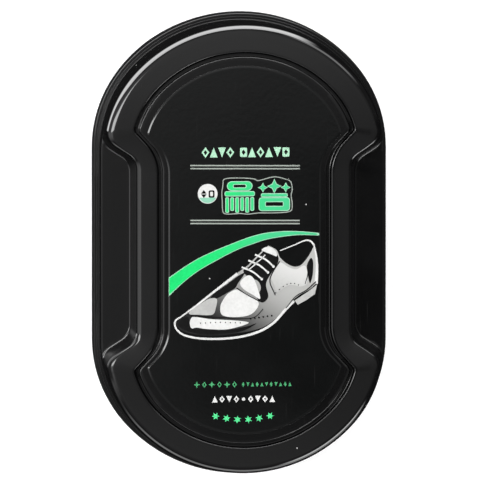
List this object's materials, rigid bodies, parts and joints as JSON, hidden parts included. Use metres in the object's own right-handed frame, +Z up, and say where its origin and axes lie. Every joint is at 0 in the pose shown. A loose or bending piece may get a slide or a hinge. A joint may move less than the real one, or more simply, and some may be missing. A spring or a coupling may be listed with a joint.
{
  "type": "shoe polish case",
  "caption": "Palm-sized waisted case with a lift-off lid and a polish-soaked sponge on each side, for shining shoes.",
  "frame": {"origin": "middle of the lower lid's raised panel, the face that the case rests on", "axes": "+Z up through the upper lid, +Y along the case's length, +X across its width"},
  "size_m": [0.08, 0.126, 0.0441],
  "materials": {
    "lid_plastic": "polished black moulding",
    "label_film": "gloss black film printed in white and mint green",
    "case_plastic": "black moulding",
    "felt": "dense needled felt, soaked with polish",
    "plate_plastic": "natural moulding",
    "sponge_foam": "open-cell foam, oiled",
    "frame_plastic": "fine satin moulding"
  },
  "bodies": {
    "lower_cover": {"lower_lid": "lid_plastic"},
    "case": {"case_body": "case_plastic", "upper_reservoir_felt": "felt", "upper_perforated_plate": "plate_plastic", "upper_sponge": "sponge_foam", "upper_clamp_frame": "frame_plastic", "lower_reservoir_felt": "felt", "lower_perforated_plate": "plate_plastic", "lower_sponge": "sponge_foam", "lower_clamp_frame": "frame_plastic"},
    "upper_cover": {"upper_lid": "lid_plastic", "upper_label": "label_film"}
  },
  "joints": [
    {"name": "case_lift", "type": "slide", "parent": "lower_cover", "child": "case", "axis": [0, 0, 1], "range_m": [0, 0.03]},
    {"name": "upper_lid_lift", "type": "slide", "parent": "case", "child": "upper_cover", "axis": [0, 0, 1], "range_m": [0, 0.03]}
  ]
}
